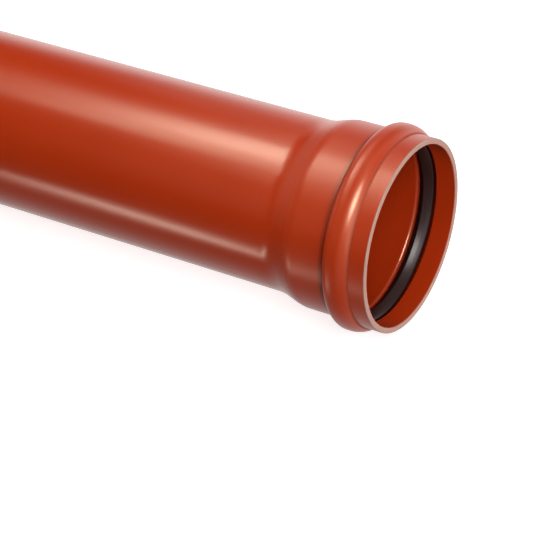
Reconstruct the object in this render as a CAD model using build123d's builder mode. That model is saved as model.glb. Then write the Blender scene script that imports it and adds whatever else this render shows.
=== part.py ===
# Drain pipe of hard PVC with a formed socket and a rubber lip seal.
# Millimetres. The pipe lies along X: the spigot end is at X = 0 and the socket mouth faces +X. +Z is up.
import os
from math import cos, radians, sin, tan

from build123d import *

# Pipe barrel and its chamfered spigot end. The laying length runs from the spigot end to the place
# in the socket where the next spigot stops.
pipe_diameter = 110.0
pipe_wall = 3.6
laying_length = 1000.0
spigot_chamfer_length = 6.0
spigot_chamfer_depth = 1.6

# Socket barrel, from the mouth to the taper, and the taper that leads down to the pipe
socket_length = 53.1
socket_clearance = 1.1
socket_wall = 3.6
taper_angle = 17.0
taper_round = 22.0

# Mouth collar, from the mouth to the bead
collar_length = 11.5
collar_clearance = 2.2
collar_wall = 3.6
rim_outer_round = 0.6
rim_inner_chamfer = 0.4

# Bead that stands out around the seal, with its steeper flank away from the mouth. Its rounds take up
# a share of a flank or of the crown.
bead_width = 16.8
bead_height = 4.4
bead_front_angle = 50.0
bead_rear_angle = 75.0
crown_flank_share = 0.78
crown_width_share = 0.46
foot_flank_share = 0.2

# Groove for the seal inside the bead
groove_wall = 3.2
flank_wall = 3.5
groove_width_share = 0.22
groove_front_round = 0.5
groove_rear_round = 1.2

# Rubber seal: it fills the groove, and its lip reaches into the path of the spigot
seal_clearance = 0.25
seal_front_proud = 0.1
seal_floor_depth = 3.0
lip_reach = 2.0
lip_length = 7.0
lip_thickness = 1.6
lip_root_length = 4.4
lip_edge_cut = 0.4

# Radii
pipe_radius = pipe_diameter / 2
bore_radius = pipe_radius - pipe_wall
spigot_end_radius = pipe_radius - spigot_chamfer_depth
socket_bore = pipe_radius + socket_clearance
socket_radius = socket_bore + socket_wall
collar_bore = pipe_radius + collar_clearance
collar_radius = collar_bore + collar_wall
bead_radius = collar_radius + bead_height
groove_radius = bead_radius - groove_wall

# Places along the axis, measured back from the mouth
taper_slope = tan(radians(taper_angle))
taper_end = socket_length + (socket_radius - pipe_radius) / taper_slope
taper_inner_start = socket_length - socket_wall * tan(radians(taper_angle) / 2)
taper_inner_end = taper_inner_start + (socket_bore - bore_radius) / taper_slope
socket_depth = taper_inner_start + (socket_bore - spigot_end_radius) / taper_slope
mouth = laying_length + socket_depth


def front_run(rise):
    """Length along the axis in which the front flank rises this far."""
    return rise / tan(radians(bead_front_angle))


def rear_run(rise):
    """Length along the axis in which the rear flank rises this far."""
    return rise / tan(radians(bead_rear_angle))


def spot(back, radius):
    """Section point at a distance back from the mouth plane."""
    return (mouth - back, radius)


def corner(sketch, point):
    """Section corner that is nearest to a point."""
    return sketch.vertices().sort_by_distance(point)[0]


# Ends of the bead and the groove. Each groove flank lies a wall inside the bead's.
rear_height = bead_radius - socket_radius
bead_end = collar_length + bead_width
groove_start = collar_length + front_run(flank_wall / cos(radians(bead_front_angle)) - collar_wall)
groove_end = bead_end - rear_run(flank_wall / cos(radians(bead_rear_angle)) - socket_wall)

# Rounds of the bead and the groove, from the lengths that they have room on
front_half = tan(radians(bead_front_angle) / 2)
rear_half = tan(radians(bead_rear_angle) / 2)
front_flank = bead_height / sin(radians(bead_front_angle))
rear_flank = rear_height / sin(radians(bead_rear_angle))
crown_room = crown_width_share * (bead_width - front_run(bead_height) - rear_run(rear_height))
crown_front_round = min(crown_flank_share * front_flank, crown_room) / front_half
crown_rear_round = min(crown_flank_share * rear_flank, crown_room) / rear_half
foot_front_round = foot_flank_share * front_flank / front_half
foot_rear_round = foot_flank_share * rear_flank / rear_half
groove_front_run = front_run(groove_radius - collar_bore)
groove_rear_run = rear_run(groove_radius - socket_bore)
groove_crown_cut = groove_width_share * (groove_end - groove_start - groove_front_run - groove_rear_run)

# Corners of the outside
rim_edge = spot(0, collar_radius)
bead_front_foot = spot(collar_length, collar_radius)
bead_front_crown = spot(collar_length + front_run(bead_height), bead_radius)
bead_rear_crown = spot(bead_end - rear_run(rear_height), bead_radius)
bead_rear_foot = spot(bead_end, socket_radius)
taper_head = spot(socket_length, socket_radius)
taper_foot = spot(taper_end, pipe_radius)

# Corners of the inside
groove_front_edge = spot(groove_start, collar_bore)
groove_front_crown = spot(groove_start + groove_front_run, groove_radius)
groove_rear_crown = spot(groove_end - groove_rear_run, groove_radius)
groove_rear_edge = spot(groove_end, socket_bore)
taper_inner_head = spot(taper_inner_start, socket_bore)
taper_inner_foot = spot(taper_inner_end, bore_radius)

# Pipe: one wall, belled out into taper, socket barrel, seal bead and mouth collar
with BuildPart() as pipe:
    with BuildSketch(Plane.XZ) as outside:
        with BuildLine():
            Polyline(
                (0, 0),
                spot(0, 0),
                rim_edge,
                bead_front_foot,
                bead_front_crown,
                bead_rear_crown,
                bead_rear_foot,
                taper_head,
                taper_foot,
                (spigot_chamfer_length, pipe_radius),
                (0, spigot_end_radius),
                close=True,
            )
        make_face()
        fillet(corner(outside, rim_edge), rim_outer_round)
        fillet(corner(outside, bead_front_foot), foot_front_round)
        fillet(corner(outside, bead_front_crown), crown_front_round)
        fillet(corner(outside, bead_rear_crown), crown_rear_round)
        fillet(corner(outside, bead_rear_foot), foot_rear_round)
        fillet(corner(outside, taper_head), taper_round)
        fillet(corner(outside, taper_foot), taper_round)
    revolve(axis=Axis.X)
    with BuildSketch(Plane.XZ) as inside:
        with BuildLine():
            Polyline(
                (0, 0),
                spot(0, 0),
                spot(0, collar_bore + rim_inner_chamfer),
                spot(rim_inner_chamfer, collar_bore),
                groove_front_edge,
                groove_front_crown,
                groove_rear_crown,
                groove_rear_edge,
                taper_inner_head,
                taper_inner_foot,
                (0, bore_radius),
                close=True,
            )
        make_face()
        fillet(corner(inside, groove_front_edge), groove_front_round)
        fillet(corner(inside, groove_front_crown), groove_crown_cut / front_half)
        fillet(corner(inside, groove_rear_crown), groove_crown_cut / rear_half)
        fillet(corner(inside, groove_rear_edge), groove_rear_round)
        fillet(corner(inside, taper_inner_head), taper_round)
        fillet(corner(inside, taper_inner_foot), taper_round)
    revolve(axis=Axis.X, mode=Mode.SUBTRACT)

# Corners of the seal. Its flanks and crown follow the groove's, a clearance away.
seal_front_radius = collar_bore - seal_front_proud
seal_crown_radius = groove_radius - seal_clearance
seal_floor_radius = socket_bore + seal_floor_depth
lip_radius = pipe_radius - lip_reach
seal_start = groove_start + seal_clearance
seal_end = groove_end - seal_clearance
seal_front_edge = spot(seal_start + front_run(seal_front_radius - collar_bore), seal_front_radius)
seal_front_crown = spot(seal_start + front_run(seal_crown_radius - collar_bore), seal_crown_radius)
seal_rear_crown = spot(seal_end - rear_run(seal_crown_radius - socket_bore), seal_crown_radius)
seal_rear_edge = spot(seal_end - rear_run(seal_floor_radius - socket_bore), seal_floor_radius)
lip_root = spot(groove_start + lip_root_length, seal_floor_radius)
lip_back = spot(groove_start + lip_length, lip_radius + lip_thickness)
lip_front = spot(groove_start + lip_length, lip_radius)

# Seal ring: a base in the groove and a lip that leans in, away from the mouth
with BuildPart() as seal_ring:
    with BuildSketch(Plane.XZ) as seal_section:
        with BuildLine():
            Polyline(
                seal_front_edge,
                seal_front_crown,
                seal_rear_crown,
                seal_rear_edge,
                lip_root,
                lip_back,
                lip_front,
                close=True,
            )
        make_face()
        chamfer(corner(seal_section, seal_front_crown), groove_crown_cut)
        chamfer(corner(seal_section, seal_rear_crown), groove_crown_cut)
        chamfer(corner(seal_section, lip_back), lip_edge_cut)
        chamfer(corner(seal_section, lip_front), lip_edge_cut)
    revolve(axis=Axis.X)

# Files, one for each piece
os.makedirs("parts", exist_ok=True)
pipe.part.label = "pipe"
export_step(pipe.part, "parts/pipe.step")
seal_ring.part.label = "seal_ring"
export_step(seal_ring.part, "parts/seal_ring.step")
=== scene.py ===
# %% [markdown]
# # A length of drain pipe in hard PVC
# The object is one plastic pipe with a formed socket at one end, and one black rubber ring that sits in
# the socket. Its sizes come from a CAD model, which is loaded first and stays where it is. Blender gives
# it what the eye sees: smooth turned walls, the skin of the plastic, pale sawn ends, soft rubber, and the
# light of a small photo studio.

# %% Load the frame
from math import atan2, cos, degrees, pi, radians, sin, tan

import bmesh
import bpy
from mathutils import Matrix, Vector


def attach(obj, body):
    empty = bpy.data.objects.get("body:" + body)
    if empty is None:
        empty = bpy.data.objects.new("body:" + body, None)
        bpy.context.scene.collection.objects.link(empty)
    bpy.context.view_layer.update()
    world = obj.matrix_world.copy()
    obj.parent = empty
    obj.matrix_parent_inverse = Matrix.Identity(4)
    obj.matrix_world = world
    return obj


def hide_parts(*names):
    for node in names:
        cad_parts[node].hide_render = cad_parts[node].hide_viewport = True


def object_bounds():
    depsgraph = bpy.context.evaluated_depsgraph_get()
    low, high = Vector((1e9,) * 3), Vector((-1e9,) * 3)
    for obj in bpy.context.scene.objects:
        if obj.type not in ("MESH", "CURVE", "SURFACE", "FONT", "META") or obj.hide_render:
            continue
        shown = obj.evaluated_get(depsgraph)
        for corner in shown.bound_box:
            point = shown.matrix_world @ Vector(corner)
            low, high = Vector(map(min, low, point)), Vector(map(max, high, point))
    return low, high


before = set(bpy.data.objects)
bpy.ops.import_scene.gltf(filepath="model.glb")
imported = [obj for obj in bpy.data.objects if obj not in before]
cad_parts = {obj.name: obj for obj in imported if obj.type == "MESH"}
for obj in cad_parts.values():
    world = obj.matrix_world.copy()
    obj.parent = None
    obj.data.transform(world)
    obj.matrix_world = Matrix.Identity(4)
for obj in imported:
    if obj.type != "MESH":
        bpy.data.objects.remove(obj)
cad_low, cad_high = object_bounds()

scene = bpy.context.scene
MM = 0.001
print("CAD nodes", sorted(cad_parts), "box", tuple(cad_low), tuple(cad_high))

# %% [markdown]
# ## The camera
# The picture looks down into the socket from its right. A long lens keeps the two edges of the barrel
# almost parallel. Instead of turning the camera by hand until it fits, it is placed by three plain facts:
# the direction that it looks in, how far the middle of the mouth is from it, and on which pixel that
# middle lies. All three were measured on the outline of the pipe.

# %% Camera
IMAGE_SIDE = 540
FOCAL_PIXELS = 2280
MOUTH_PIXEL = (412.39, 236.62)
MOUTH_DISTANCE = 1.3712
CAMERA_TURN, CAMERA_RISE = radians(30.71), radians(31.14)

mouth = Vector((cad_high.x, 0, 0))
forward = Vector((
    -sin(CAMERA_TURN) * cos(CAMERA_RISE), cos(CAMERA_TURN) * cos(CAMERA_RISE), -sin(CAMERA_RISE)))
right = Vector((cos(CAMERA_TURN), sin(CAMERA_TURN), 0))
up = right.cross(forward)
ray = (forward
       + right * (MOUTH_PIXEL[0] - IMAGE_SIDE / 2) / FOCAL_PIXELS
       - up * (MOUTH_PIXEL[1] - IMAGE_SIDE / 2) / FOCAL_PIXELS)

camera = bpy.data.objects.new("camera", bpy.data.cameras.new("camera"))
scene.collection.objects.link(camera)
scene.camera = camera
camera.data.sensor_width = 36
camera.data.lens = camera.data.sensor_width * FOCAL_PIXELS / IMAGE_SIDE
camera.matrix_world = Matrix((right, up, -forward)).transposed().to_4x4()
camera.location = mouth - ray * MOUTH_DISTANCE
print("camera", tuple(round(v, 3) for v in camera.location), "lens", camera.data.lens)

# %% [markdown]
# ## Two small helpers
# Materials and Geometry Nodes are both made of nodes, and a node is always the same work: make it, set
# its options, type numbers into its sockets, and draw its wires. One function does that for every kind.
# Colours are written as sRGB hex values, as a paint program shows them. Blender's shaders reckon in
# linear light, so a second function turns them over.


# %% Helpers
def add(tree, kind, values=None, links=None, **options):
    """Adds one node with its options, the values of its sockets, and its links from other sockets."""
    node = tree.nodes.new(kind)
    for name, value in options.items():
        setattr(node, name, value)
    for socket, value in (values or {}).items():
        node.inputs[socket].default_value = value
    for socket, source in (links or {}).items():
        tree.links.new(source, node.inputs[socket])
    return node


def linear(hex_colour):
    """An sRGB hex colour as linear red, green, blue and alpha."""
    shares = [int(hex_colour[i:i + 2], 16) / 255 for i in (1, 3, 5)]
    return [s / 12.92 if s <= 0.04045 else ((s + 0.055) / 1.055) ** 2.4 for s in shares] + [1.0]


# Socket numbers of a Mix node: for colours, and for plain numbers
MIX_SHARE, MIX_A, MIX_B, MIX_RESULT = 0, 6, 7, 2
MIX_NUMBER_A, MIX_NUMBER_B, MIX_NUMBER = 2, 3, 0
print("#A7260A in linear light is", [round(v, 4) for v in linear("#A7260A")])

# %% [markdown]
# ## The plastic: where it was cut
# Hard PVC is pressed hot through a ring-shaped die and drawn off in one long pull. A saw cuts it to
# length, a cutter turns a chamfer on the spigot end, and the other end is warmed and belled out into the
# socket. A cut surface is paler and duller than the skin, because countless tiny scratches scatter the
# light.
# The cuts could be faces with a material of their own. Here one material finds them by their place: the
# distance along the pipe says which end it is, and the distance from the axis tells outside from inside.

# %% Hard PVC: the masks of the cuts
# Unplasticised PVC, extruded: a smooth glossy skin with lines along the draw, pale and dull where cut.
hard_pvc = bpy.data.materials.new("hard_pvc_extruded")
hard_pvc.use_nodes = True
tree = hard_pvc.node_tree
tree.nodes.clear()
place = add(tree, "ShaderNodeTexCoord").outputs["Object"]
along = add(tree, "ShaderNodeSeparateXYZ", links={0: place}).outputs["X"]
spoke = add(tree, "ShaderNodeVectorMath", {1: (0, 1, 1)}, {0: place}, operation="MULTIPLY").outputs[0]
radius = add(tree, "ShaderNodeVectorMath", links={0: spoke}, operation="LENGTH").outputs["Value"]

# Sawn faces: the last tenths of a millimetre at the mouth and at the spigot end
mouth_face = add(tree, "ShaderNodeMapRange", {"From Min": mouth.x - 0.3 * MM, "From Max": mouth.x - 0.1 * MM},
                 {"Value": along}).outputs[0]
spigot_face = add(tree, "ShaderNodeMapRange", {"From Min": 0.3 * MM, "From Max": 0.1 * MM},
                  {"Value": along}).outputs[0]
sawn = add(tree, "ShaderNodeMath", links={0: mouth_face, 1: spigot_face}, operation="MAXIMUM").outputs[0]
# Broken edge of the rim: half a millimetre and more, grey
broken = add(tree, "ShaderNodeMapRange", {"From Min": mouth.x - 0.75 * MM, "From Max": mouth.x - 0.5 * MM},
             {"Value": along}).outputs[0]
# Turned chamfer: the first millimetres of the spigot, on its outside
CHAMFER = 6.0
near_end = add(tree, "ShaderNodeMapRange",
               {"From Min": (CHAMFER + 0.1) * MM, "From Max": (CHAMFER - 0.2) * MM},
               {"Value": along}).outputs[0]
outside = add(tree, "ShaderNodeMapRange", {"From Min": 52.9 * MM, "From Max": 53.2 * MM},
              {"Value": radius}).outputs[0]
turned = add(tree, "ShaderNodeMath", links={0: near_end, 1: outside}, operation="MULTIPLY").outputs[0]
print("masks: sawn faces, broken rim edge, turned chamfer")

# %% [markdown]
# ## The plastic: the creases beside the bead
# The wall turns up into the bead in a tight corner on either side. On the real pipe both corners show as
# dark lines of shade, the one behind the bead deeper and softer than the one in front. The form alone gives
# only a weak shadow there, and in front it catches a thin bright streak. So two more masks find the corners.
# Shade is painted into the colour of both, and the gloss is duller in the front one.

# %% Hard PVC: the masks of the creases
# Behind the bead, where shade is painted in: from the socket barrel to the foot of the bead's flank, on the
# outside only
into_rear = add(tree, "ShaderNodeMapRange", {"From Min": mouth.x - 33 * MM, "From Max": mouth.x - 28.8 * MM},
                {"Value": along}, interpolation_type="SMOOTHSTEP").outputs[0]
off_front = add(tree, "ShaderNodeMapRange", {"From Min": mouth.x - 22 * MM, "From Max": mouth.x - 24 * MM},
                {"Value": along}).outputs[0]
rear_low = add(tree, "ShaderNodeMapRange", {"From Min": 62 * MM, "From Max": 60 * MM},
               {"Value": radius}).outputs[0]
off_bore = add(tree, "ShaderNodeMapRange", {"From Min": 58 * MM, "From Max": 59 * MM},
               {"Value": radius}).outputs[0]
rear_place = add(tree, "ShaderNodeMath", links={0: into_rear, 1: off_front}, operation="MULTIPLY").outputs[0]
rear_ring = add(tree, "ShaderNodeMath", links={0: rear_low, 1: off_bore}, operation="MULTIPLY").outputs[0]
rear_crease_shade = add(tree, "ShaderNodeMath", links={0: rear_place, 1: rear_ring},
                  operation="MULTIPLY").outputs[0]
# In front of the bead, where shade is painted in and the gloss dulled: a line at its foot that fades out
# within a millimetre to each side
FRONT_FOOT = 11.3
from_foot = add(tree, "ShaderNodeMath", {1: mouth.x - FRONT_FOOT * MM}, {0: along},
                operation="SUBTRACT").outputs[0]
foot_gap = add(tree, "ShaderNodeMath", links={0: from_foot}, operation="ABSOLUTE").outputs[0]
front_place = add(tree, "ShaderNodeMapRange", {"From Min": 1.0 * MM, "From Max": 0.4 * MM},
                  {"Value": foot_gap}).outputs[0]
front_crease = add(tree, "ShaderNodeMath", links={0: front_place, 1: off_bore},
                   operation="MULTIPLY").outputs[0]
print("masks: crease behind the bead, crease in front of it")

# %% [markdown]
# ## The plastic: its patterns
# The die leaves fine lines that all run along the pipe, the pull leaves a very slight waviness, and the
# pigment lies in faint clouds. These three are noises in the pipe's own coordinates. For lines along the
# pipe, the noise is squeezed along X first: a cell of 1 becomes a cell of hundreds.
# The cutter leaves rings on the chamfer, and the saw leaves strokes on the faces. Both are wave textures.
# A wave repeats every 0.314 of its scale, which is two pi over twenty.

# %% Hard PVC: the patterns
# Lines of the die. They are finer on the real skin, and drawn 3 mm apart so that they show at all.
drawn = add(tree, "ShaderNodeMapping", {"Scale": (0.004, 1, 1)}, {"Vector": place}).outputs[0]
die_lines = add(tree, "ShaderNodeTexNoise", {"Scale": 1 / (3 * MM), "Detail": 1.0},
                {"Vector": drawn}).outputs["Fac"]
# Slow waves of the wall, about 45 mm across and 400 mm long
pulled = add(tree, "ShaderNodeMapping", {"Scale": (0.11, 1, 1)}, {"Vector": place}).outputs[0]
waves = add(tree, "ShaderNodeTexNoise", {"Scale": 1 / (45 * MM), "Detail": 0.0},
            {"Vector": pulled}).outputs["Fac"]
# Clouds in the pigment, about 60 mm
clouds = add(tree, "ShaderNodeTexNoise", {"Scale": 1 / (60 * MM), "Detail": 1.0},
             {"Vector": place}).outputs["Fac"]
# Rings of the cutter 0.5 mm apart, and strokes of the saw 1.2 mm apart
WAVE = 0.314
rings = add(tree, "ShaderNodeTexWave", {"Scale": WAVE / (0.5 * MM), "Distortion": 0.4}, {"Vector": place},
            bands_direction="X").outputs["Fac"]
strokes = add(tree, "ShaderNodeTexWave", {"Scale": WAVE / (1.2 * MM), "Distortion": 2.5}, {"Vector": place},
              bands_direction="Y").outputs["Fac"]
print("patterns: die lines, waves, clouds, cutter rings, saw strokes")

# %% [markdown]
# ## The plastic: colour, gloss and relief
# Now the masks and patterns meet. The colour goes from the clouded skin to the painted shade of the creases,
# the grey of the broken edge and the pale cuts. The roughness follows the same masks, and three bumps in a
# row
# carry the relief: the waves and the cuts are hundredths of a millimetre deep, the lines of the die far less.
# The reflections in the photo are warm, so the specular tint is warm too.

# %% Hard PVC: the shader
skin = add(tree, "ShaderNodeMix", {MIX_A: linear("#A02B0A"), MIX_B: linear("#A8310C")},
           {MIX_SHARE: clouds}, data_type="RGBA").outputs[MIX_RESULT]
# Painted shade in the creases: the colour is pulled towards dark brown there, more behind the bead than in
# front
FRONT_SHADE, REAR_SHADE = 0.35, 0.6
rear_shade_share = add(tree, "ShaderNodeMath", {1: REAR_SHADE}, {0: rear_crease_shade}, operation="MULTIPLY").outputs[0]
painted_shade_share = add(tree, "ShaderNodeMath", {1: FRONT_SHADE}, {0: front_crease, 2: rear_shade_share},
                   operation="MULTIPLY_ADD").outputs[0]
crease_shaded = add(tree, "ShaderNodeMix", {MIX_B: linear("#3A0E04")}, {MIX_SHARE: painted_shade_share, MIX_A: skin},
              data_type="RGBA").outputs[MIX_RESULT]
broken_share = add(tree, "ShaderNodeMath", {1: 0.75}, {0: broken}, operation="MULTIPLY").outputs[0]
edged = add(tree, "ShaderNodeMix", {MIX_B: linear("#8E7B73")}, {MIX_SHARE: broken_share, MIX_A: crease_shaded},
            data_type="RGBA").outputs[MIX_RESULT]
turned_share = add(tree, "ShaderNodeMapRange", {"To Max": 0.45}, {"Value": turned}).outputs[0]
chamfered = add(tree, "ShaderNodeMix", {MIX_B: linear("#B98672")}, {MIX_SHARE: turned_share, MIX_A: edged},
                data_type="RGBA").outputs[MIX_RESULT]
# The sawn face of the mouth is greyer towards its outer edge
outward = add(tree, "ShaderNodeMapRange", {"From Min": 57.4 * MM, "From Max": 60.6 * MM},
              {"Value": radius}).outputs[0]
greyed = add(tree, "ShaderNodeMix", {MIX_A: linear("#CC8B78"), MIX_B: linear("#AE9185")},
             {MIX_SHARE: outward}, data_type="RGBA").outputs[MIX_RESULT]
stroke_share = add(tree, "ShaderNodeMath", {1: 0.12}, {0: strokes}, operation="MULTIPLY").outputs[0]
stroked = add(tree, "ShaderNodeMix", {MIX_B: linear("#E6CABF")}, {MIX_SHARE: stroke_share, MIX_A: greyed},
              data_type="RGBA").outputs[MIX_RESULT]
colour = add(tree, "ShaderNodeMix", links={MIX_SHARE: sawn, MIX_A: chamfered, MIX_B: stroked},
             data_type="RGBA").outputs[MIX_RESULT]

# Roughness: about 0.24 on the drawn skin, a little more on the outside of the formed socket, and much more
# where it was cut and at the foot in front of the bead
CUT_ROUGHNESS = 0.65
skin_gloss = add(tree, "ShaderNodeMapRange", {"To Min": 0.225, "To Max": 0.25},
                 {"Value": die_lines}).outputs[0]
formed = add(tree, "ShaderNodeMapRange",
             {"From Min": mouth.x - 75 * MM, "From Max": mouth.x - 50 * MM, "To Max": 0.07},
             {"Value": along}).outputs[0]
formed_gloss = add(tree, "ShaderNodeMath", links={0: formed, 1: off_bore, 2: skin_gloss},
                   operation="MULTIPLY_ADD").outputs[0]
worked = add(tree, "ShaderNodeMath", links={0: broken_share, 1: turned_share}, operation="MAXIMUM").outputs[0]
matt = add(tree, "ShaderNodeMath", links={0: worked, 1: front_crease}, operation="MAXIMUM").outputs[0]
dull = add(tree, "ShaderNodeMath", links={0: matt, 1: sawn}, operation="MAXIMUM").outputs[0]
gloss = add(tree, "ShaderNodeMix", {MIX_NUMBER_B: CUT_ROUGHNESS},
            {MIX_SHARE: dull, MIX_NUMBER_A: formed_gloss}).outputs[MIX_NUMBER]

wavy = add(tree, "ShaderNodeBump", {"Strength": 1.0, "Distance": 0.05 * MM}, {"Height": waves}).outputs[0]
lined = add(tree, "ShaderNodeBump", {"Strength": 0.3, "Distance": 0.001 * MM},
            {"Height": die_lines, "Normal": wavy}).outputs[0]
ring_cut = add(tree, "ShaderNodeMath", links={0: rings, 1: turned}, operation="MULTIPLY").outputs[0]
cuts = add(tree, "ShaderNodeMath", links={0: strokes, 1: sawn, 2: ring_cut},
           operation="MULTIPLY_ADD").outputs[0]
tooled = add(tree, "ShaderNodeBump", {"Strength": 0.6, "Distance": 0.03 * MM},
             {"Height": cuts, "Normal": lined}).outputs[0]
shader = add(tree, "ShaderNodeBsdfPrincipled", {"IOR": 1.53, "Specular Tint": (1.0, 0.80, 0.57, 1.0)},
             {"Base Color": colour, "Roughness": gloss, "Normal": tooled})
add(tree, "ShaderNodeOutputMaterial", links={"Surface": shader.outputs[0]})
print("material", hard_pvc.name, "with", len(tree.nodes), "nodes")

# %% [markdown]
# ## A tree that turns a section
# Both pieces are round about the axis of the pipe, so each follows one rule: a closed section, turned once
# around. A Screw modifier could do it, or a subdivided cylinder with its rings pushed out. A Geometry
# Nodes tree is the better lathe here, because every corner of the section can be a named input: how far it
# lies back from the mouth, its radius, and the size of the round on it.
# The tree lays a line of points, moves each one to its corner, closes the line, rounds the corners with
# Fillet Curve, and sweeps the result along a circle with Curve to Mesh. The sweep sees the circle's
# outward side as the section's X and the way down as its Y, so after a quarter turn about Y the section's
# Y runs back along the pipe.


# %% Turning tree
PATH_RADIUS = 50 * MM
STEPS_AROUND, STEPS_IN_A_ROUND = 240, 8


def turning_tree(name, corner_names):
    """A tree that turns a section of named corners about the X axis, back from the mouth."""
    tree = bpy.data.node_groups.new(name, "GeometryNodeTree")
    tree.interface.new_socket("Geometry", in_out="OUTPUT", socket_type="NodeSocketGeometry")
    for corner_name in corner_names:
        tree.interface.new_socket(corner_name, in_out="INPUT", socket_type="NodeSocketVector")
    tree.interface.new_socket("Mouth", in_out="INPUT", socket_type="NodeSocketFloat")
    tree.interface.new_socket("Steps around", in_out="INPUT", socket_type="NodeSocketInt")
    tree.interface.new_socket("Steps in a round", in_out="INPUT", socket_type="NodeSocketInt")
    tree.interface.new_socket("Material", in_out="INPUT", socket_type="NodeSocketMaterial")
    given = add(tree, "NodeGroupInput").outputs

    line = add(tree, "GeometryNodeCurvePrimitiveLine")
    points = add(tree, "GeometryNodeResampleCurve", {"Count": len(corner_names)}, {"Curve": line.outputs[0]})
    pick = add(tree, "GeometryNodeIndexSwitch", data_type="VECTOR")
    while len(pick.index_switch_items) < len(corner_names):
        pick.index_switch_items.new()
    tree.links.new(add(tree, "GeometryNodeInputIndex").outputs[0], pick.inputs["Index"])
    for number, corner_name in enumerate(corner_names):
        tree.links.new(given[corner_name], pick.inputs[1 + number])
    corner = add(tree, "ShaderNodeSeparateXYZ", links={0: pick.outputs[0]}).outputs
    out = add(tree, "ShaderNodeMath", {1: PATH_RADIUS}, {0: corner["Y"]}, operation="SUBTRACT").outputs[0]
    spot = add(tree, "ShaderNodeCombineXYZ", links={"X": out, "Y": corner["X"]}).outputs[0]

    moved = add(tree, "GeometryNodeSetPosition", links={"Geometry": points.outputs[0], "Position": spot})
    closed = add(tree, "GeometryNodeSetSplineCyclic", {"Cyclic": True}, {"Geometry": moved.outputs[0]})
    section = add(tree, "GeometryNodeFilletCurve",
                  links={"Curve": closed.outputs[0], "Count": given["Steps in a round"],
                         "Radius": corner["Z"]},
                  mode="POLY")
    path = add(tree, "GeometryNodeCurvePrimitiveCircle", {"Radius": PATH_RADIUS},
               {"Resolution": given["Steps around"]})
    wall = add(tree, "GeometryNodeCurveToMesh",
               links={"Curve": path.outputs[0], "Profile Curve": section.outputs[0]})
    reach = add(tree, "ShaderNodeCombineXYZ", links={"X": given["Mouth"]}).outputs[0]
    laid = add(tree, "GeometryNodeTransform", {"Rotation": (0, radians(90), 0)},
               {"Geometry": wall.outputs[0], "Translation": reach})
    smooth = add(tree, "GeometryNodeSetShadeSmooth", links={"Geometry": laid.outputs[0]})
    real = add(tree, "GeometryNodeRealizeInstances", links={"Geometry": smooth.outputs[0]})
    dressed = add(tree, "GeometryNodeSetMaterial",
                  links={"Geometry": real.outputs[0], "Material": given["Material"]})
    add(tree, "NodeGroupOutput", links={"Geometry": dressed.outputs[0]})
    return tree


def turned_piece(name, corners, material):
    """A plain mesh object, turned from corners of (back from the mouth, radius, round) in millimetres."""
    piece = bpy.data.objects.new(name, bpy.data.meshes.new(name))
    scene.collection.objects.link(piece)
    sizes = {corner_name: [size * MM for size in corner] for corner_name, corner in corners.items()}
    sizes.update({"Mouth": mouth.x, "Steps around": STEPS_AROUND, "Steps in a round": STEPS_IN_A_ROUND,
                  "Material": material})
    turning = piece.modifiers.new("turning", "NODES")
    turning.node_group = turning_tree(name + "_turning", list(corners))
    for socket in turning.node_group.interface.items_tree:
        if socket.in_out == "INPUT":
            turning[socket.identifier] = sizes[socket.name]
    # Long straight walls decide the shading at their ends, and the small rounds follow
    piece.modifiers.new("evening", "WEIGHTED_NORMAL")
    finished = bpy.data.meshes.new_from_object(piece.evaluated_get(bpy.context.evaluated_depsgraph_get()))
    piece.modifiers.clear()
    piece.data = finished
    finished.name = name
    check = bmesh.new()
    check.from_mesh(finished)
    volume = check.calc_volume(signed=True) / (10 * MM) ** 3
    check.free()
    print(name, len(finished.polygons), "faces, volume", round(volume, 1), "cm3, materials",
          [m.name for m in finished.materials])
    return piece


print("turning tree ready")

# %% [markdown]
# ## The pipe
# The section of the pipe is one wall. From the mouth back it is a collar, the bead with the seal's groove
# inside, the socket barrel, the taper, and then the long barrel to the chamfered spigot end. The sizes are
# those of the CAD model, in millimetres. A few corners follow the real pipe more closely, by half a
# millimetre at most: the bead is gentler in front and its front foot sharper, and the taper's foot and the
# groove's rear edge have larger rounds. The small rounds on the arrises are what a knife or a scraper leaves
# after the saw.
# A leaning wall is given by its angle, so one small function says how far it runs while it rises.


# %% Pipe
def run(rise, angle):
    """Length along the pipe in which a wall of this angle rises this far."""
    return rise / tan(radians(angle))


PIPE_R, BORE_R, SPIGOT_R = 55.0, 51.4, 53.4
SOCKET_R, SOCKET_BORE = 59.7, 56.1
COLLAR_R, COLLAR_BORE = 60.8, 57.2
BEAD_R, GROOVE_R = 65.2, 62.0
BEAD_START, BEAD_END = 11.5, 28.3
GROOVE_START, GROOVE_END = 13.05, 25.64
FRONT_ANGLE, REAR_ANGLE, TAPER_ANGLE = 50, 75, 17
SOCKET_END, STOP_START = 53.1, 52.56
SPIGOT_END = mouth.x / MM
TAPER_ROUND, TAPER_FOOT_ROUND = 22, 34
RIM_CUT = 0.4
# How far the front foot and the front shoulder of the bead lie off the CAD model's
FOOT_SHIFT, SHOULDER_SHIFT = -0.3, 0.6

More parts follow.
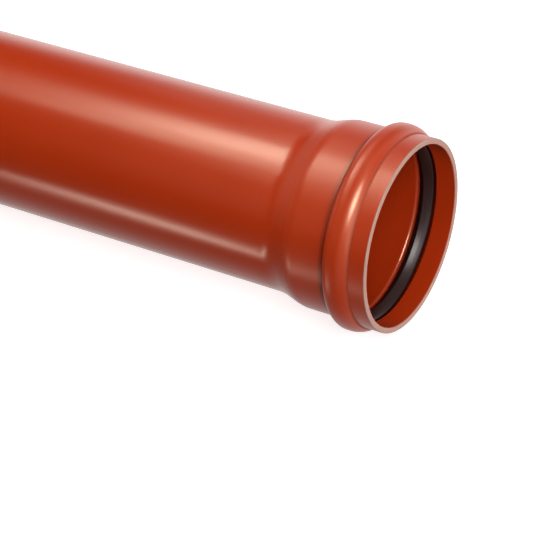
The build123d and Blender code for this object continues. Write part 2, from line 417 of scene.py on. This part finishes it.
pipe = turned_piece("drain_pipe", {
    "Rim edge": (0, COLLAR_R, 0.6),
    "Bead front foot": (BEAD_START + FOOT_SHIFT, COLLAR_R, 0.4),
    "Bead front crown": (BEAD_START + SHOULDER_SHIFT + run(BEAD_R - COLLAR_R, FRONT_ANGLE), BEAD_R, 12.0),
    "Bead rear crown": (BEAD_END - run(BEAD_R - SOCKET_R, REAR_ANGLE), BEAD_R, 5.8),
    "Bead rear foot": (BEAD_END, SOCKET_R, 1.45),
    "Taper head": (SOCKET_END, SOCKET_R, TAPER_ROUND),
    "Taper foot": (SOCKET_END + run(SOCKET_R - PIPE_R, TAPER_ANGLE), PIPE_R, TAPER_FOOT_ROUND),
    "Chamfer head": (SPIGOT_END - CHAMFER, PIPE_R, 0.8),
    "Chamfer foot": (SPIGOT_END, SPIGOT_R, 0.25),
    "Spigot bore edge": (SPIGOT_END, BORE_R, 0.3),
    "Taper bore foot": (STOP_START + run(SOCKET_BORE - BORE_R, TAPER_ANGLE), BORE_R, TAPER_ROUND),
    "Taper bore head": (STOP_START, SOCKET_BORE, TAPER_ROUND),
    "Groove rear edge": (GROOVE_END, SOCKET_BORE, 3.0),
    "Groove rear crown": (GROOVE_END - run(GROOVE_R - SOCKET_BORE, REAR_ANGLE), GROOVE_R, 2.0),
    "Groove front crown": (GROOVE_START + run(GROOVE_R - COLLAR_BORE, FRONT_ANGLE), GROOVE_R, 3.3),
    "Groove front edge": (GROOVE_START, COLLAR_BORE, 0.5),
    "Mouth chamfer head": (RIM_CUT, COLLAR_BORE, 0.2),
    "Mouth chamfer foot": (0, COLLAR_BORE + RIM_CUT, 0.15),
}, hard_pvc)
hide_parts("pipe")
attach(pipe, "root")

# %% [markdown]
# ## The rubber
# The ring in the socket is moulded from black rubber. It is nearly black with a breath of brown, and its
# shine is soft, because the mould was not polished and the rubber has a fine grain.

# %% Black rubber, moulded
# Synthetic rubber with soot in it, moulded: nearly black, a soft grey shine, no sharp reflections.
black_rubber = bpy.data.materials.new("black_rubber_moulded")
black_rubber.use_nodes = True
tree = black_rubber.node_tree
tree.nodes.clear()
place = add(tree, "ShaderNodeTexCoord").outputs["Object"]
# Grain of the mould. It is finer on the real ring, and drawn about 1.5 mm wide so that it shows.
mottle = add(tree, "ShaderNodeTexNoise", {"Scale": 1 / (1.5 * MM), "Detail": 2.0},
             {"Vector": place}).outputs["Fac"]
soot = add(tree, "ShaderNodeMix", {MIX_A: linear("#1E0B09"), MIX_B: linear("#2A130F")},
           {MIX_SHARE: mottle}, data_type="RGBA").outputs[MIX_RESULT]
sheen = add(tree, "ShaderNodeMapRange", {"To Min": 0.25, "To Max": 0.38}, {"Value": mottle}).outputs[0]
grain = add(tree, "ShaderNodeBump", {"Strength": 0.3, "Distance": 0.05 * MM}, {"Height": mottle}).outputs[0]
shader = add(tree, "ShaderNodeBsdfPrincipled", {"IOR": 1.52, "Specular IOR Level": 0.16},
             {"Base Color": soot, "Roughness": sheen, "Normal": grain})
add(tree, "ShaderNodeOutputMaterial", links={"Surface": shader.outputs[0]})
print("material", black_rubber.name, "with", len(tree.nodes), "nodes")

# %% [markdown]
# ## The seal ring
# The seal has a thick foot that fills the groove, and a lip that leans in and away from the mouth. The next
# pipe bends the lip aside, and its spring keeps the joint tight. The same lathe turns it. Its foot follows
# the groove a quarter of a millimetre inside it.
# The CAD model has flat cuts on its edges. The real rubber is round everywhere, so here each corner has its
# round. The lip and the front edge lie about a millimetre further back than in the CAD model, and the foot
# behind the lip is fuller, because the photo shows them so.

# %% Seal ring
CLEARANCE = 0.25
SEAL_R, SEAL_FLOOR, LIP_R = GROOVE_R - CLEARANCE, 57.2, 53.0
SEAL_START, SEAL_END = GROOVE_START + CLEARANCE, GROOVE_END - CLEARANCE
FRONT_SET_BACK, FRONT_SET_OUT = 0.9, 0.2
LIP_ROOT, LIP_END = GROOVE_START + 5.4, GROOVE_START + 8.1
LIP_THICKNESS = 1.6
# The front of the lip bulges a little over this corner, on a large round
BULGE, BULGE_R, BULGE_ROUND = GROOVE_START + 4.6, 55.0, 20.0

seal = turned_piece("lip_seal", {
    "Front edge": (SEAL_START + FRONT_SET_BACK, COLLAR_BORE + FRONT_SET_OUT, 2.0),
    "Front crown": (SEAL_START + run(SEAL_R - COLLAR_BORE, FRONT_ANGLE), SEAL_R, 3.0),
    "Rear crown": (SEAL_END - run(SEAL_R - SOCKET_BORE, REAR_ANGLE), SEAL_R, 1.8),
    "Rear edge": (SEAL_END - run(SEAL_FLOOR - SOCKET_BORE, REAR_ANGLE), SEAL_FLOOR, 0.5),
    "Lip root": (LIP_ROOT, SEAL_FLOOR, 0.8),
    "Lip back": (LIP_END, LIP_R + LIP_THICKNESS, 0.5),
    "Lip tip": (LIP_END, LIP_R, 0.7),
    "Lip front": (BULGE, BULGE_R, BULGE_ROUND),
}, black_rubber)
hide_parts("seal_ring")
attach(seal, "root")

# %% [markdown]
# ## The floor
# The pipe lies on a white sweep that glows, like a light table. The bead around the socket is thicker than
# the barrel, so a pipe on the floor touches it with the bead and with its far end, and the floor is laid
# along that line. The floor is there for the eye only: the plastic does not mirror it, and lights below it
# shine through.

# %% Floor
# Middle of the bead, in millimetres back from the mouth
BEAD_MIDDLE = 19
BEAD_FOOT = Vector((mouth.x - BEAD_MIDDLE * MM, 0, cad_low.z))
SPIGOT_FOOT = Vector((CHAMFER * MM, 0, -PIPE_R * MM))
FLOOR_HALF = 6.0
# Glow of the floor, and of the backdrop past its edge
PALE = 0.8
slope = (BEAD_FOOT - SPIGOT_FOOT).normalized()
sweep = bpy.data.meshes.new("floor")
sweep.from_pydata(
    [BEAD_FOOT + (slope * a + Vector((0, b, 0))) * FLOOR_HALF
     for a, b in ((-1, -1), (1, -1), (1, 1), (-1, 1))],
    [], [(0, 1, 2, 3)])
floor = bpy.data.objects.new("floor", sweep)
scene.collection.objects.link(floor)
floor.visible_glossy = False
floor.visible_diffuse = False
floor.visible_shadow = False

white_sweep = bpy.data.materials.new("white_sweep")
white_sweep.use_nodes = True
shader = white_sweep.node_tree.nodes["Principled BSDF"]
shader.inputs["Base Color"].default_value = linear("#BCBCBC")
shader.inputs["Roughness"].default_value = 0.9
shader.inputs["Specular IOR Level"].default_value = 0.0
shader.inputs["Emission Color"].default_value = (1, 1, 1, 1)
shader.inputs["Emission Strength"].default_value = PALE
floor.data.materials.append(white_sweep)
print("floor slope", round(degrees(atan2(slope.z, slope.x)), 2), "degrees")

# %% [markdown]
# ## The light
# Glossy plastic is lit by what it mirrors. Two long soft boxes above the pipe make the broad light band on
# its shoulder, and a large one at the right lights the rim and the front of the bead. The streak on the
# bead, the fine line on the lower side and the soft glows around the socket come from boxes that only the
# gloss sees. Other boxes fill the shadows and are not mirrored. One lamp in a real studio does both at once.
# Here the two jobs are kept apart, so that each can be matched to the photo without spoiling the other.


# %% Lights
def soft_box(name, middle, target, size, radiance, lean=0):
    """A soft box that faces a target. The radiance is that of its face, and it may lean by some degrees."""
    light = bpy.data.lights.new(name, "AREA")
    light.shape = "ELLIPSE"
    light.size, light.size_y = size
    light.energy = radiance * pi * size[0] * size[1]
    box = bpy.data.objects.new(name, light)
    scene.collection.objects.link(box)
    back = (Vector(middle) - Vector(target)).normalized()
    side = Vector((1, 0, 0)) if abs(back.x) < 0.9 else Vector((0, 1, 0))
    side = Matrix.Rotation(radians(lean), 3, back) @ (side - back * side.dot(back)).normalized()
    box.matrix_world = Matrix((side, back.cross(side), back)).transposed().to_4x4()
    box.location = middle
    box.visible_camera = False
    print(name, "at", tuple(middle), "energy", round(light.energy, 2))
    return box


soft_box("top_box_left", (-0.60, -0.85, 2.7), (0.9, 0, 0), (0.40, 1.05), 7.6, lean=-14)
soft_box("top_box_right", (-0.35, -0.06, 2.7), (0.9, 0, 0), (0.32, 1.12), 14.8, lean=-14)
soft_box("right_wall", (3.20, -1.10, 0.3), (1.05, 0, 0), (1.5, 1.8), 2.0)

# Lights that only the gloss sees: the key, the thin strip, and soft cards around the socket
key_box = soft_box("key_box", (2.44, -1.24, 1.57), (1.05, 0, 0), (0.56, 1.35), 35.0)
low_strip = soft_box("low_strip", (-0.33, -1.56, -1.65), (0.82, 0, 0), (0.74, 0.17), 0.38, lean=-42)
top_glow = soft_box("top_glow", (-0.12, 0.10, 2.75), (0.95, 0, 0), (0.80, 3.60), 2.0)
front_glow = soft_box("front_glow", (-0.36, -1.75, 2.7), (0.95, 0, 0), (0.70, 1.30), 1.9)
back_card = soft_box("back_card", (0.50, 0.95, 0.85), (1.0, 0, 0), (0.7, 1.0), 0.38)
front_card = soft_box("front_card", (0.62, -1.00, 0.55), (1.0, 0, 0), (0.7, 1.2), 0.34)
for card in (key_box, low_strip, top_glow, front_glow, back_card, front_card):
    card.visible_diffuse = False
# The strip shines in a narrow fan, so that it stays off the far end of the pipe. The fan gathers its light,
# and its own value is small.
LOW_FAN = radians(30)
low_strip.data.spread = LOW_FAN

# Lights that fill the shadows and that the gloss does not see: the white table below, the ceiling, the wall
# behind, the room in front of the mouth, and one in front of the spigot end
table_light = soft_box("table_light", (0.8, -0.3, -1.2), (0.8, -0.3, 0), (6.0, 6.0), 0.52)
ceiling_light = soft_box("ceiling_light", (1.2, 0.2, 2.3), (1.0, 0, 0), (1.6, 1.6), 3.2)
wall_fill = soft_box("wall_fill", (1.2, 2.0, 1.25), (1.0, 0, 0), (1.6, 1.6), 2.5)
room_fill = soft_box("room_fill", (2.1, -1.39, 1.18), (1.0, 0, 0), (0.9, 0.9), 12.0)
end_fill = soft_box("end_fill", (-1.30, -0.10, 0.35), (0, 0, 0), (0.9, 0.9), 8.0)
for fill in (table_light, ceiling_light, wall_fill, room_fill, end_fill):
    fill.visible_glossy = False

# %% [markdown]
# ## The room that the plastic mirrors
# Between the boxes, the skin mirrors the room. A picture of a room could be wrapped around the scene. A few
# soft ramps over the direction do the same without a picture. There is a bright low wall behind the pipe, a
# pale room on the right, and a glow at the upper left. On the camera's side it is dark, so that the body
# keeps its full colour. Only the gloss sees this room. The eye sees a pale backdrop past the floor's edge.

# %% Room
world = bpy.data.worlds.new("studio")
scene.world = world
world.use_nodes = True
tree = world.node_tree
tree.nodes.clear()
direction = add(tree, "ShaderNodeTexCoord").outputs["Generated"]
way = add(tree, "ShaderNodeSeparateXYZ", links={0: direction}).outputs

# The low wall behind the pipe
behind = add(tree, "ShaderNodeMapRange", {"From Min": -0.6, "From Max": 0.45}, {"Value": way["Y"]},
             interpolation_type="SMOOTHSTEP").outputs[0]
low = add(tree, "ShaderNodeMapRange", {"From Min": 0.54, "From Max": 0.1}, {"Value": way["Z"]},
          interpolation_type="SMOOTHSTEP").outputs[0]
wall = add(tree, "ShaderNodeMath", links={0: behind, 1: low}, operation="MULTIPLY").outputs[0]
wall_light = add(tree, "ShaderNodeMapRange", {"To Min": 0.02, "To Max": 1.35}, {"Value": wall}).outputs[0]
# The room on the right, which fades out towards the floor
room_light = add(tree, "ShaderNodeMapRange", {"From Min": 0.0, "From Max": 0.35, "To Max": 0.95},
                 {"Value": way["X"]}, interpolation_type="SMOOTHSTEP").outputs[0]
standing = add(tree, "ShaderNodeMapRange", {"From Min": -0.85, "From Max": -0.4, "To Min": 0.1},
               {"Value": way["Z"]}, interpolation_type="SMOOTHSTEP").outputs[0]
both = add(tree, "ShaderNodeMath", links={0: room_light, 1: standing, 2: wall_light},
           operation="MULTIPLY_ADD").outputs[0]
# Both are weaker below, and end before the far left
above = add(tree, "ShaderNodeMapRange", {"From Min": -0.8, "From Max": 0.0, "To Min": 0.55},
            {"Value": way["Z"]}).outputs[0]
near = add(tree, "ShaderNodeMapRange", {"From Min": -0.95, "From Max": -0.6}, {"Value": way["X"]},
           interpolation_type="SMOOTHSTEP").outputs[0]
weakened = add(tree, "ShaderNodeMath", links={0: both, 1: above}, operation="MULTIPLY").outputs[0]
# The glow at the upper left. From the photo's side, the taper of the socket mirrors it.
left = add(tree, "ShaderNodeMapRange", {"From Min": -0.66, "From Max": -0.8, "To Max": 0.85},
           {"Value": way["X"]}).outputs[0]
upper = add(tree, "ShaderNodeMapRange", {"From Min": -0.2, "From Max": 0.55}, {"Value": way["Z"]}).outputs[0]
glow = add(tree, "ShaderNodeMath", links={0: left, 1: upper}, operation="MULTIPLY").outputs[0]
mirrored = add(tree, "ShaderNodeMath", links={0: weakened, 1: near, 2: glow},
               operation="MULTIPLY_ADD").outputs[0]
# The gloss sees the room, and the eye sees the backdrop
ray_kind = add(tree, "ShaderNodeLightPath").outputs
room = add(tree, "ShaderNodeMath", links={0: mirrored, 1: ray_kind["Is Glossy Ray"]},
           operation="MULTIPLY").outputs[0]
backdrop = add(tree, "ShaderNodeMath", {1: PALE}, {0: ray_kind["Is Camera Ray"], 2: room},
               operation="MULTIPLY_ADD").outputs[0]
sky = add(tree, "ShaderNodeBackground", {"Color": (1, 1, 1, 1)}, {"Strength": backdrop})
add(tree, "ShaderNodeOutputWorld", links={"Surface": sky.outputs[0]})
scene.view_settings.view_transform = "Standard"
print("world with", len(tree.nodes), "nodes")
